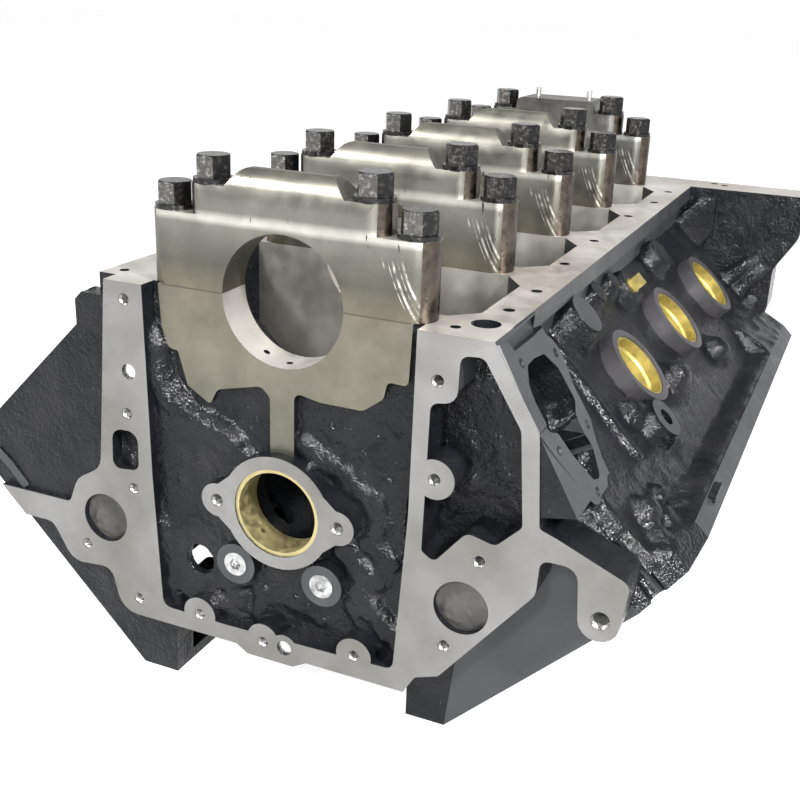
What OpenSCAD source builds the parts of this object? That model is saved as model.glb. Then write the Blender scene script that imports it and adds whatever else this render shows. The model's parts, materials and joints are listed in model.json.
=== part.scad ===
// Bare V8 engine block, standing upside down on the inner edges of its two decks.
// X runs across the block, Y from the timing face to the flywheel end, Z up towards the oil pan.
// The origin is on the crank axis, at the front face of the first main bearing.

/* [Cylinders] */
// Distance from one cylinder to the next along a bank
bore_pitch = 122.94; // [118:0.01:128]
// Diameter of each cylinder
bore_d = 108; // [100:0.5:110]
// Distance from the crank axis to each deck
deck_height = 248.9; // [245:0.1:260]
// Distance from the crank axis to the crankcase end of each cylinder
bore_foot = 100; // [98:0.5:106]
// How far the right bank sits behind the left bank
bank_stagger = 24.5; // [20:0.5:28]
// Wall between an end cylinder and the end of its bank
end_wall = 11.5; // [9:0.5:16]
// Wall outside each cylinder, on the exhaust side
jacket_wall = 7; // [6:0.5:12]
// Width of deck outboard of the cylinder centres
deck_outer = 75; // [72:0.5:80]
// Thickness of the deck flange
deck_flange = 12; // [10:0.5:20]

/* [Crankcase] */
// Diameter of the main bearing housings
main_d = 74.6; // [70:0.1:80]
// Width of the first four main bearings along the crank
main_w = 24; // [22:0.5:27]
// Width of the rear main bearing
rear_main_w = 40; // [36:0.5:44]
// Half width of the crankcase over the pan rails
rail_x = 124; // [121:0.5:128]
// Width of each pan rail
rail_w = 23; // [20:0.5:26]
// Thickness of each pan rail
rail_h = 12; // [8:0.5:16]
// Distance from the rear main bearing to the flywheel face
rear_overhang = 25.5; // [20:0.5:32]
// Thickness of the flywheel housing flange
flange_t = 38; // [34:0.5:42]
// Half width of the flywheel housing flange
flange_x = 222; // [212:0.5:228]

/* [Timing face] */
// How far the timing face stands ahead of the first main bearing
face_proud = 7.5; // [6:0.5:10]
// How far the cast wall lies behind the first main bearing's face
wall_back = 4.5; // [3:0.5:5]
// Diameter of the tapped holes round the timing cover
cover_hole_d = 7; // [6:0.1:9]
// Diameter of the two coolant ports in the timing face
port_d = 32; // [26:0.5:34]

/* [Camshaft] */
// Distance from the crank axis to the cam axis
cam_drop = 123; // [121:0.1:126]
// Diameter of the cam bearing housings
cam_d = 54.4; // [50:0.1:56]
// Wall of the cam bearings
cam_shell = 2.4; // [1.5:0.1:3.5]
// Length of each cam bearing
cam_bearing_w = 20; // [16:0.5:22]
// Half distance between the thrust plate's two holes
cam_ear_x = 39.2; // [38:0.1:42]
// Diameter of the lifter bores
lifter_d = 21.4; // [20:0.1:23]

/* [Main caps] */
// Height of the outer bolt seats above the crank axis
outer_seat = 42.3; // [40:0.1:46]
// Height of the inner bolt seats above the crank axis
inner_seat = 58.9; // [56:0.1:64]
// Height of the cap's crown above the crank axis
crown_top = 69; // [66:0.5:74]
// Distance of the outer bolts from the crank axis
outer_bolt_x = 74; // [72:0.5:77]
// Distance of the inner bolts from the crank axis
inner_bolt_x = 48.5; // [47:0.5:51]
// How far each step of a cap reaches beyond its bolts
cap_lug = 12; // [10:0.5:14]

/* [Fasteners and plugs] */
// Diameter of the cap bolts
bolt_d = 12.7; // [11:0.1:13.5]
// Width of the hexagon heads across their flats
head_af = 18; // [16:0.1:20]
// Height of the hexagon heads
head_h = 12.5; // [9:0.5:15]
// Depth of the tapped holes for the cap bolts, below the pan rail
tap_depth = 60; // [50:1:62]
// Diameter of the washers under the heads
washer_d = 23; // [21:0.5:23.5]
// Thickness of the washers
washer_t = 2.5; // [1.5:0.1:3.5]
// Diameter of the core plugs
core_plug_d = 44; // [38:0.5:46]
// Sheet thickness of the core plugs
core_plug_wall = 1.5; // [1:0.1:2.5]
// Clearance between a turned piece and its hole
fit_gap = 0.05; // [0.03:0.01:0.12]

/* [Hidden] */
$fn = 48;
eps = 0.5;
big = 900;
s45 = sin(45);
bays = 4;
main_r = main_d / 2;
bore_r = bore_d / 2;
cam_r = cam_d / 2;
bolt_r = bolt_d / 2;
face_y = -face_proud;
rear_main_y = bays * bore_pitch;
rear_y = rear_main_y + rear_main_w + rear_overhang;
flange_y = rear_y - flange_t;
jacket_t = bore_r + jacket_wall;
skirt_t = jacket_t - 0.6;
flare_y = rear_y - 132;
lug_out = s45 * (deck_height + deck_outer) - 3;
lug_top = s45 * (deck_outer - deck_height) + 8;
lug_foot = deck_height - 3;
left_wall_y = -2;
bore_margin = bore_r + end_wall;
end_deck = deck_height - 0.5;
plate_back = pair_y(0) + bank_stagger / 2 - bore_margin + 1;

// Lowest level of the banks, and the inner corner of each deck at that level
foot_z = -253;
foot_in_x = 74;
foot_out_x = deck_x(foot_z);
// Level of the rails at both ends of the valley
valley_rail_z = -217;
valley_front_y = 22;
valley_rear_y = rear_y - 40;
// Height of the lifter boss faces along the bank, and of the ridge between them
lifter_face_u = 149;
ridge_x = 31;
ridge_z = -180;
trough_x = s45 * (lifter_face_u - jacket_t - 4);
trough_z = s45 * (-lifter_face_u - jacket_t - 4);

// Bays of the crankcase
bay_x = rail_x - rail_w;
bay_corner = 14;

// Core plugs
plug_u = deck_height - 91.9;
plug_t = jacket_t + 11;
plug_boss_r = core_plug_d / 2 + 5;
plug_depth = 10;
plug_shift = 30;
plug_step = [0, 0, 3.3];

// Depth of the opening for the fuel pump's arm
pump_depth = 16;

// Oil gallery plugs beside the cam
gallery_x = 28.7;
gallery_z = -163.5;
gallery_face_y = face_y + 2;
gallery_r = 7.4;
plug_len = 11;

// Flywheel housing
housing_bolts = [[206, -14], [190, -96], [112, -186]];
housing_dowel = [196, -58];
housing_bolt_r = 5;
dowel_r = 7.9;
head_bolt_r = 5.4;
head_bolt_t = 53;
end_bolt_y = 56;
deck_dowel_dy = 44;
deck_dowel_t = -84;
dowel_len = 24;
seal_r = 56;
seal_seat_r = 48;
seal_seat_w = 10;

// Cap bolts reach to this depth in their tapped holes
bolt_reach = 50;

// Tapped holes along the pan rails as [distance in from the rail's edge, y]
rail_bolts = [[12, 51], [11, 97], [16, 171], [17, 248], [17, 350], [12, 420], [12, 478]];
rail_bolt_r = 3.4;

// Oil holes in the front saddle as [y, angle]
oil_holes = [[11.7, 25.5], [10.6, 1]];
oil_hole_r = 2;

// Valley side of each bank: inner edge of the deck, wall of the pockets, and the inner bolts
deck_inner_t = 70;
pocket_t = jacket_t + 5.5;
pocket_u = deck_height - 14;
inner_head_bolt_t = -90;
inner_boss_r = 9.5;
inner_boss_len = 34;
rear_core_plug = [118, -140];

// Crown of the caps, kept clear of the inner washers, and the pins in the rear cap
crown_x = inner_bolt_x - washer_d / 2 - 1;
arch_r = 20;
pin_x = 24;
pin_y = 28;
pin_r = 2.4;

// Drain plug bosses, and the shoulder of the left front wall as a list of [x, z]
drain_u = 117;
drain_boss_h = 10;
drain_r = 6;
ridge_path = [[-83, -37], [-82.5, -48], [-82, -62], [-75, -71], [-61, -78], [-52, -80], [-43, -83],
    [-32, -88]];

shoulder_foot = [[-14, -98], [-14, -150], [-22, -178], [-42, -186], [-60, -192], [-82, -197],
    [-88, -197], [-88, -33]];

function deck_x(z) = deck_height / s45 + z;
function pair_y(i) = main_w / 2 + bore_pitch * (i + 0.5);
function bore_y(side, i) = pair_y(i) + side * bank_stagger / 2;
function bank_front(side) = bore_y(side, 0) - bore_margin;
function bank_rear(side) = bore_y(side, bays - 1) + bore_margin;
function main_y(i) = i * bore_pitch;
function cap_bolt_y(i) = main_y(i) + main_w / 2;

// Place across the block of a point u along the cylinder axis and t towards the exhaust side
function bank_xz(u, t) = [s45 * (u + t), s45 * (t - u)];

// Outline with round corners, from a list of [x, z, corner radius]
function unit(v) = v / norm(v);
function corner(a, b, c, r) =
    let (p = [b[0], b[1]], da = unit([a[0], a[1]] - p), dc = unit([c[0], c[1]] - p))
    let (half = acos(max(-1, min(1, da * dc))) / 2)
    let (reach = min(r / tan(half), norm([a[0], a[1]] - p) * 0.49, norm([c[0], c[1]] - p) * 0.49))
    let (rr = reach * tan(half), mid = p + unit(da + dc) * rr / sin(half))
    let (v0 = p + da * reach - mid, v1 = p + dc * reach - mid)
    let (a0 = atan2(v0[1], v0[0]), sweep = atan2(v0[0] * v1[1] - v0[1] * v1[0], v0 * v1))
    let (n = max(2, ceil(abs(sweep) / 22)))
    [for (k = [0:n]) mid + rr * [cos(a0 + sweep * k / n), sin(a0 + sweep * k / n)]];
function rounded(pts) =
    let (n = len(pts))
    [for (i = [0:n - 1]) each (pts[i][2] <= 0
        ? [[pts[i][0], pts[i][1]]]
        : corner(pts[(i + n - 1) % n], pts[i], pts[(i + 1) % n], pts[i][2]))];

// Shared shapes

// Extrudes an outline drawn in X and Z from y0 to y1
module along_y(y0, y1) {
    translate([0, y1, 0])
        rotate([90, 0, 0])
            linear_extrude(y1 - y0)
                children();
}

// Cylinder along Y
module rod_y(x, z, r, y0, y1) {
    translate([x, y0, z])
        rotate([-90, 0, 0])
            cylinder(h = y1 - y0, r = r);
}

// Draws its children on one bank: side 1 is the right bank, side -1 the left
module on_bank(side) {
    if (side > 0) children();
    else mirror([1, 0, 0]) children();
}

// Frame of a cylinder: Z along the cylinder axis away from the crank, X towards the exhaust side
module bank_frame(y, t = 0, u = 0) {
    translate([s45 * (u + t), y, s45 * (t - u)])
        rotate([0, 135, 0])
            mirror([1, 0, 0])
                children();
}

// Frame on the exhaust side: Z points away from the jacket wall, X along the cylinder axis
module jacket_frame(y, u, t) {
    translate([s45 * (u + t), y, s45 * (t - u)])
        rotate([0, 45, 0])
            children();
}

module slot_2d(half, r) {
    square([2 * half, 2 * r], center = true);
    for (sx = [-1, 1])
        translate([sx * half, 0])
            circle(r);
}

// Block outlines

module crankcase_2d() {
    for (sx = [0, 1])
        mirror([sx, 0])
            polygon([[0, 0], [rail_x, 0], [rail_x, -rail_h], [rail_x - 7, -rail_h - 4],
                [rail_x - 7, s45 * 2 * skirt_t - rail_x + 7], bank_xz(bore_foot + 25, skirt_t),
                bank_xz(bore_foot + 25, -skirt_t), [trough_x, trough_z], [ridge_x, ridge_z], [0, ridge_z]]);
}

module bank_2d() {
    polygon([bank_xz(bore_foot - 6, jacket_t), bank_xz(deck_height - deck_flange - 10, jacket_t),
        bank_xz(deck_height - deck_flange, deck_outer), bank_xz(deck_height, deck_outer),
        [foot_out_x, foot_z], [foot_in_x, foot_z], [foot_in_x, -foot_in_x - s45 * 2 * (jacket_t + 4)],
        [trough_x, trough_z], bank_xz(bore_foot - 6, -jacket_t)]);
}

// Thickened end of each bank, out to the width of the deck
module bank_end_2d() {
    polygon([[90, -11], [131, -11], [136, -16], [136, s45 * 2 * (deck_outer - 1) - 136],
        bank_xz(end_deck, deck_outer - 1), bank_xz(end_deck, 0), bank_xz(bore_foot, 0)]);
}

// One cylinder bank; the right bank's front outer corner is cut back
module bank(side) {
    difference() {
        union() {
            along_y(bank_front(side), bank_rear(side)) bank_2d();
            along_y(flare_y, bank_rear(side)) flare_2d();
            if (side < 0) {
                along_y(bank_front(side), bank_front(side) + 14) bank_end_2d();
                along_y(bank_front(side) - 1.2, bank_front(side) + 4)
                    polygon([[204, -124], [194, -132], [182, -145], [187, -149], [198, -137], [205, -131]]);
            }
        }
        if (side > 0)
            bank_frame(bank_front(side), 0, bore_foot + 40)
                linear_extrude(big)
                    polygon([[42, -1], [42, 0], [70, 22], [deck_outer, 60], [deck_outer + 9, 60],
                        [deck_outer + 9, -1]]);
        if (side < 0)
            mirror([1, 0, 0])
                along_y(face_y - 1, left_wall_y)
                    middle_window_2d();
    }
}

// Jacket wall spread out to the deck's edge at the rear of each bank
module flare_2d() {
    polygon([bank_xz(deck_height - 70, jacket_t - 3), bank_xz(deck_height - 60, jacket_t),
        bank_xz(deck_height - deck_flange, deck_outer), bank_xz(deck_height - deck_flange, jacket_t - 3)]);
}

module bay_section_2d() {
    for (sx = [0, 1])
        mirror([sx, 0])
            polygon([[0, 5], [bay_x, 5], [bay_x, bay_x - bore_foot / s45], [44, 44 - bore_foot / s45],
                [36, -cam_drop + 36], [0, -cam_drop + 36]]);
}

module valley_2d() {
    for (sx = [0, 1])
        mirror([sx, 0])
            polygon([[0, foot_z - 5], [foot_in_x, foot_z - 5],
                [foot_in_x, -foot_in_x - s45 * 2 * (jacket_t + 4)], [trough_x, trough_z],
                [ridge_x, ridge_z], [0, ridge_z]]);
}

module timing_outline_2d() {
    polygon(rounded([
        [-112, 0, 0], [-117.5, -66, 0], [-122.5, -120, 12], [-141, -131, 14], [-148, -148.5, 4],
        [1 - deck_x(-148.5), -148.5, 0], [1 - deck_x(-166), -166, 0],
        [-163, -166, 8], [-149, -190.5, 12], [-119, -188, 8], [-112, -217, 14], [-28, -217, 0],
        [-20, -222, 2], [11, -222, 2], [20, -217, 0], [83, -217, 0], [90, -205, 3], [104, -200, 4],
        [156, -134, 10], [157, -113, 5], [177, -113, 8], [180, -152, 11], [200, -152, 11],
        [204.5, -115.5, 6], [165, -99, 0], [155, -95.5, 3], [151, -43, 6], [rail_x + 0.5, 0, 0]]));
}

module right_window_2d() {
    difference() {
        polygon(rounded([
            [107, -10, 5], [119.5, -9, 5], [141.5, -44, 8], [146, -97, 4], [132, -111, 5],
            [116, -107, 6], [98, -129, 4], [90.5, -124, 3], [92, -38, 5], [106.5, -36, 8]]));
        translate([96.1, -80.5])
            circle(11.5);
    }
}

module middle_window_2d() {
    difference() {
        polygon(rounded([
            [-86, 5, 0], [-84.3, -118, 0], [-80.5, -205, 6], [-36, -206, 0], [30, -205, 0],
            [76, -204, 5], [82, -104, 0], [83, 5, 0]]));
        for (p = [[-53.9, -203.9, 11.2], [-9.3, -209, 10.5], [5.2, -211, 9], [51.2, -202.4, 11.2]])
            translate([p[0], p[1]])
                circle(p[2]);
    }
}

// Machined front face of the first main bearing's web, with its stem down to the cam boss
module web_pad_2d() {
    polygon(rounded([
        [-80, 0, 0], [-78.5, -25, 0], [-74.5, -37, 4], [-68, -38, 2], [-62, -58, 0], [-47, -67, 2],
        [-42, -57, 6], [-13, -50, 5], [-7.5, -56, 3], [-7.5, -92, 0], [7.8, -92, 0], [7.8, -50, 4],
        [24, -53, 6], [50, -53, 6], [62, -44, 5], [64, -34, 3], [76, -34.5, 3], [77.4, 0, 0]]));
}

module flange_2d() {
    for (sx = [0, 1])
        mirror([sx, 0])
            polygon(rounded([
                [-1, 0, 0], [flange_x, 0, 3], [flange_x, -36, 14], [flange_x - 18, -66, 12],
                [flange_x - 18, -104, 20], [178, -152, 30], [124, -197, 20], [58, -222, 10],
                [-1, -222, 0]]));
}

// Block features

// Main web faces, cam boss and plug bosses that stand out of the front wall
module front_bosses() {
    along_y(0, wall_back + eps) web_pad_2d();
    rod_y(0, -cam_drop, cam_r + 7.8, face_y, wall_back + eps);
    for (sx = [-1, 1])
        rod_y(sx * cam_ear_x, -cam_drop, 10.5, face_y, wall_back + eps);
    along_y(face_y, wall_back + eps)
        translate([0, -cam_drop])
            polygon([[-cam_ear_x, -10], [-20, -26], [20, -26], [cam_ear_x, -10], [cam_ear_x, 10], [20, 26],
                [-20, 26], [-cam_ear_x, 10]]);
    for (sx = [-1, 1])
        rod_y(sx * gallery_x, gallery_z, 13, gallery_face_y, wall_back + eps);
}

// Flat-backed cast rib on the front wall, from one point to another
module wall_rib(x0, z0, x1, z1, r, y) {
    translate([x0, y, z0])
        rotate([0, 90 - atan2(z1 - z0, x1 - x0), 0])
            rotate([0, 0, 22.5])
                cylinder(h = norm([x1 - x0, z1 - z0]), r = r, $fn = 8);
    knuckle(x0, z0, r, y);
    knuckle(x1, z1, r, y);
}

// Tapered round end of a rib
module knuckle(x, z, r, y) {
    translate([x, y + 0.3, z])
        rotate([90, 0, 0])
            cylinder(h = r, r1 = r * 1.08, r2 = r * 0.5);
}

// Chain of ribs through a list of [x, z] points
module rib_chain(pts, r, y) {
    for (i = [1:len(pts) - 1])
        wall_rib(pts[i - 1][0], pts[i - 1][1], pts[i][0], pts[i][1], r + 0.07 * (i % 2), y);
}

module front_ribs() {
    along_y(left_wall_y, wall_back + eps)
        polygon(concat([[-80, -33]], [for (p = ridge_path) p + [-0.9, 0.7]], shoulder_foot));
    rib_chain(ridge_path, 5, left_wall_y + 3);
    rib_chain([[-82, -150], [-79, -170], [-76, -192]], 4, left_wall_y + 2.5);
    rib_chain([[12, -82], [30, -91], [36, -93], [41, -101], [50, -104], [57, -108]], 7, wall_back + 4);
    rib_chain([[57, -108], [60, -122], [54, -134], [66, -143], [61, -156]], 9, wall_back + 5.5);
    rib_chain([[42, -142], [50, -152]], 12, wall_back + 7);
    rib_chain([[79, -57], [63, -74], [34, -87]], 2.5, wall_back + 1.5);
    rib_chain([[61, -77], [70, -87], [80, -81]], 2, wall_back + 1.2);
    rib_chain([[49, -165], [57, -176], [66, -184], [76, -192]], 10, wall_back + 4.5);
    rib_chain([[45, -176], [52, -187], [61, -197]], 5, wall_back + 1.5);
    rib_chain([[-66, -194], [-50, -191], [-42, -196]], 6, wall_back - 1);
    rib_chain([[-34, -189], [-34, -208]], 9, wall_back + 3.5);
    rib_chain([[-17, -184], [-16, -200]], 7, wall_back + 4);
    wall_rib(5, -186, 24, -192, 6, wall_back + 4);
}

module timing_plate() {
    difference() {
        along_y(face_y, plate_back)
            timing_outline_2d();
        along_y(face_y - 1, plate_back + 1)
            middle_window_2d();
    }
}

// Cast corner that carries the fuel pump pad, on the right beside the timing face
module pump_corner() {
    along_y(face_y + 1, 58)
        polygon([[rail_x - 30, -1], [rail_x + 0.5, -1], [149.4, -43], [174, -86],
            bank_xz(bore_foot + 40, 0)]);
    pump_pad();
}

// Frame on the face of the pump corner: X down the face, Y towards the rear
module pump_face() {
    translate([rail_x + 0.5, 0, 0])
        rotate([0, 61, 0])
            children();
}

module pump_pad() {
    pump_face()
        translate([0, 0, -6])
            linear_extrude(7.5)
                polygon(rounded([[2, face_y + 0.2, 0], [11.5, 52, 3], [19, 60.6, 4], [28, 64.5, 5],
                    [47, 62, 4], [68, 65, 5], [80, 60, 6], [97, 56.5, 6], [106, 46, 8], [104.5, 22, 10],
                    [70, 2, 10], [51, face_y + 0.2, 0]]));
}

// Opening for the pump's arm, and the holes round it
module pump_cuts() {
    pump_face() {
        translate([0, 0, -pump_depth])
            linear_extrude(pump_depth + 3)
                polygon(rounded([[20, 14.5, 4], [19.5, 26, 5], [21.4, 41, 4], [33, 51.5, 3],
                    [53.5, 55.5, 4], [59.5, 47.5, 4], [72, 48.6, 4], [80, 51.5, 4], [96.5, 44, 5],
                    [93.5, 34, 4], [73, 21, 6], [58.7, 15.3, 5], [54.5, 5, 5], [38, 4.4, 5],
                    [28, 6.5, 5]]));
        translate([0, 0, -5.5])
            linear_extrude(9)
                polygon([[3, 3.4], [9.7, 7.2], [10.3, 57.4], [1.8, 60.5]]);
        for (p = [[17, 9], [25.5, 57], [69, 57.5], [66, 8], [100, 33]])
            translate([p[0], p[1], -12])
                cylinder(h = 15, r = 2.8, $fn = 24);
    }
}

// Bosses, ribs and lugs cast on the exhaust side of a bank
module side_bosses(side) {
    shift = (side - 1) / 2 * bank_stagger;
    for (i = [0:2])
        jacket_frame(core_plug_y(side, i), core_plug_u(i), jacket_t - 5)
            cylinder(h = plug_t - jacket_t + 5, r1 = plug_boss_r + 2, r2 = plug_boss_r);
    side_boss(136 + shift, 109, 20, 18, 13);
    side_boss(150 + shift, 190, 13, 16, 13);
    side_boss(drain_y(side), drain_u, drain_boss_h, 16, 11);
    side_boss(370 + shift, 114, 12, 16, 12);
    side_boss(208 + shift, 104, 9, 12, 8);
    side_boss(246 + shift, 106, 9, 11, 7);
    jacket_frame(109 + shift, 111, jacket_t + 0.5)
        rotate([0, 90, -4.5])
            cylinder(h = 85, r = 4);
    for (p = [[176, 229, -72, 11], [184, 353, -88, 11], [166, 138, -72, 9], [186, 164, -96, 9]])
        finger(p[0], p[1] + shift, p[2], p[3]);
    for (p = [[62, 35, 11], [76, 23, 10], [54, 21, 9], [92, 33, 8], [100, 17, 9]])
        side_boss(p[0] + shift, deck_height - p[1], p[2] * 0.8, p[2] * 1.1, p[2] * 0.5);
    along_y(118 + shift, 142 + shift)
        polygon([[lug_out - 36, lug_top], [lug_out, lug_top], [lug_out, lug_out - lug_foot / s45],
            [lug_out - 36, lug_out - 36 - lug_foot / s45]]);
    translate([141, flange_y + 2, -40])
        rotate([12, 0, 0])
            cylinder(h = 34, r = 9);
    rod_y(191, -63, 11, flange_y - 6, flange_y + 1);
    rod_y(housing_bolts[0][0] - 2, housing_bolts[0][1] - 6, 13, flange_y - 4, flange_y + 1);
}

// Conical boss on the jacket wall, h high
module side_boss(y, u, h, base_r, top_r) {
    jacket_frame(y, u, jacket_t - 4)
        cylinder(h = h + 4, r1 = base_r, r2 = top_r);
}

// Upright half-round lug whose domed top is at height z
module finger(x, y, z, r) {
    foot = jacket_t / s45 - x - r - 8;
    translate([x, y, 0])
        rotate_extrude()
            polygon([[0, foot], [r, foot], [r, z - 0.6 * r], [0.85 * r, z - 0.25 * r],
                [0.5 * r, z], [0, z]]);
}

function core_plug_y(side, i) = pair_y(i + 0.5) + side * bank_stagger / 2 + plug_shift + plug_step[i];
function core_plug_u(i) = plug_u + plug_step[i];
function drain_y(side) = 267 + (side - 1) / 2 * bank_stagger;

// Block cuts

module crankcase_bays() {
    for (i = [0:bays - 1]) {
        y0 = main_y(i) + main_w;
        y1 = main_y(i + 1);
        intersection() {
            along_y(y0, y1) bay_section_2d();
            translate([0, (y0 + y1) / 2, -big / 2])
                linear_extrude(big)
                    bay_plan_2d((y1 - y0) / 2);
        }
        rod_y(0, -cam_drop, cam_r + 5, y0 + 4, y1 - 4);
        translate([-14, y0 + 14, -cam_drop])
            cube([28, y1 - y0 - 28, 50]);
    }
}

module bay_plan_2d(half) {
    polygon([[-bay_x, -half + bay_corner], [-bay_x + bay_corner, -half], [bay_x - bay_corner, -half],
        [bay_x, -half + bay_corner], [bay_x, half - bay_corner - 6], [bay_x - bay_corner, half],
        [-bay_x + bay_corner, half], [-bay_x, half - bay_corner - 6]]);
}

module cylinders(side) {
    for (i = [0:bays - 1])
        bank_frame(bore_y(side, i), 0, bore_foot)
            cylinder(h = deck_height - bore_foot + 1, r = bore_r, $fn = 96);
    for (i = [0:bays - 1])
        bank_frame(bore_y(side, i), 0, deck_height - 1.5)
            cylinder(h = 2, r1 = bore_r - 0.01, r2 = bore_r + 2, $fn = 96);
}

module lifter_bores(side) {
    for (i = [0:bays - 1], d = [-24, 24])
        bank_frame(bore_y(side, i) + d, -s45 * cam_drop, s45 * cam_drop + 20)
            cylinder(h = 60, r = lifter_d / 2);
}

// Hollow valley side of a bank, open through the deck between its inner bolt bosses
module valley_pockets(side) {
    difference() {
        union() {
            along_y(bank_front(side) + 18, bank_rear(side) - 16)
                polygon([[foot_in_x - 1, 1 - foot_in_x - s45 * 2 * pocket_t], bank_xz(pocket_u, -pocket_t),
                    [foot_in_x + 12, foot_in_x + 12 - pocket_u / s45],
                    [foot_in_x - 1, foot_in_x + 12 - pocket_u / s45]]);
            for (i = [0:bays - 2])
                along_y(bore_y(side, i) + 4, bore_y(side, i + 1) - 4)
                    polygon([bank_xz(pocket_u - 6, -deck_inner_t),
                        bank_xz(deck_height + 2, -deck_inner_t), [foot_out_x + 30, foot_z - 9],
                        [foot_in_x - 1, foot_z - 9], [foot_in_x - 1, foot_z + 50]]);
        }
        for (i = [0:bays - 1])
            bank_frame(bore_y(side, i), inner_head_bolt_t, deck_height - inner_boss_len)
                cylinder(h = inner_boss_len + 6, r = inner_boss_r);
    }
}

// Tapped head bolt holes, coolant holes and dowel holes in a deck
module deck_holes(side) {
    first = bore_y(side, 0);
    last = bore_y(side, bays - 1);
    for (t = [-head_bolt_t, head_bolt_t]) {
        for (i = [1:bays - 1])
            deck_hole(first + bore_pitch * (i - 0.5), t, head_bolt_r, 38);
        deck_hole(first - end_bolt_y, t, head_bolt_r, 38);
        deck_hole(last + end_bolt_y, t, head_bolt_r, 38);
    }
    for (i = [0:bays - 1]) {
        deck_hole(bore_y(side, i), inner_head_bolt_t, head_bolt_r, 30);
        for (d = [-32, 32])
            deck_hole(bore_y(side, i) + d, deck_outer - 9, 4, deck_flange - 2);
        deck_hole(bore_y(side, i) + 36, -62, 5.5, 20);
    }
    for (y = [first - deck_dowel_dy, last + deck_dowel_dy])
        deck_hole(y, deck_dowel_t, dowel_r + fit_gap, 12);
}

module deck_hole(y, t, r, depth) {
    bank_frame(y, t, deck_height - depth)
        cylinder(h = depth + 1, r = r, $fn = 24);
}

module timing_holes() {
    for (p = [[-98.5, -10.2], [-100.4, -80.3], [-98.4, -128.6], [-120.8 - 15.7, -175], [-98.8, -204.6],
        [-53.9, -203.9], [-9.3, -210.7], [51.2, -202.4], [95.3, -25.4], [96.1, -80.5], [123.8, -122.3],
        [106.3, -179.2]])
        rod_y(p[0], p[1], cover_hole_d / 2, face_y - 1, face_y + 16);
    rod_y(191.1, -139.6, 5.2, face_y - 1, plate_back + 1);
    for (p = [[-97.7, -53.7], [5.2, -210.9]])
        rod_y(p[0], p[1], 4.7 + fit_gap, face_y - 1, face_y + 12);
    rod_y(-121, -153.7, port_d / 2, face_y - 1, face_y + 14);
    rod_y(115, -153, port_d / 2, face_y - 1, face_y + 14);
    along_y(face_y - 1, face_y + 16)
        polygon(rounded([[-112, -92, 7], [-93.5, -91, 7], [-94, -116, 5], [-113, -118, 5]]));
    along_y(face_y - 1, plate_back - 2)
        right_window_2d();
    for (sx = [-1, 1])
        rod_y(sx * cam_ear_x, -cam_drop, 4, face_y - 1, face_y + 14);
    rod_y(-55.5, -168.5, 9.5, face_y - 1, valley_front_y - 2);
    rod_y(-62, -176, 23, left_wall_y + 5, valley_front_y + 1);
}

module plug_holes() {
    for (sx = [-1, 1]) {
        rod_y(sx * gallery_x, gallery_z, gallery_r + fit_gap, gallery_face_y - 1, gallery_face_y + 12);
        rod_y(sx * gallery_x, gallery_z, gallery_r + fit_gap, rear_y - 12, rear_y + 1);
    }
    for (side = [-1, 1])
        on_bank(side) {
            for (i = [0:2])
                jacket_frame(core_plug_y(side, i), core_plug_u(i), plug_t - plug_depth - 2)
                    cylinder(h = plug_depth + 3, r = core_plug_d / 2 + fit_gap);
            jacket_frame(drain_y(side), drain_u, jacket_t + drain_boss_h - 10)
                cylinder(h = 11, r = drain_r + fit_gap);
            jacket_frame(150 + (side - 1) / 2 * bank_stagger, 190, jacket_t)
                cylinder(h = 14, r = 5.5);
        }
}

module rail_holes() {
    for (sx = [-1, 1], p = rail_bolts)
        translate([sx * (rail_x - p[0]), p[1], -16])
            cylinder(h = 17, r = rail_bolt_r, $fn = 24);
    for (p = [[98, 7], [-114, 15], [140, 548], [150, 542], [-140, 548], [-150, 542]])
        translate([p[0], p[1], -12])
            cylinder(h = 13, r = 3, $fn = 24);
    translate([110, 20, -4])
        cylinder(h = 5, r = 8);
    for (p = oil_holes)
        translate([0, p[0], 0])
            rotate([0, 180 + p[1], 0])
                cylinder(h = main_r + 9, r = oil_hole_r, $fn = 24);
    for (i = [0:bays], sx = [-1, 1]) {
        translate([sx * inner_bolt_x, cap_bolt_y(i), -tap_depth])
            cylinder(h = tap_depth + 1, r = bolt_r + fit_gap);
        translate([sx * outer_bolt_x, cap_bolt_y(i), -tap_depth])
            cylinder(h = tap_depth + 1, r = bolt_r + fit_gap);
    }
}

module rear_cuts() {
    rod_y(0, 0, seal_r, rear_main_y + rear_main_w, rear_y + 1);
    rod_y(0, 0, seal_seat_r, rear_main_y + rear_main_w - seal_seat_w, rear_y);
    rod_y(0, -cam_drop, cam_r + 1, rear_main_y + rear_main_w, rear_y + 1);
    for (sx = [-1, 1]) {
        for (p = housing_bolts)
            rod_y(sx * p[0], p[1], housing_bolt_r, flange_y - 1, rear_y + 1);
        rod_y(sx * housing_dowel[0], housing_dowel[1], dowel_r + fit_gap, rear_y - 14, rear_y + 1);
        rod_y(sx * rear_core_plug[0], rear_core_plug[1], core_plug_d / 2 + fit_gap, rear_y - plug_depth - 2,
            rear_y + 1);
    }
}

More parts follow.
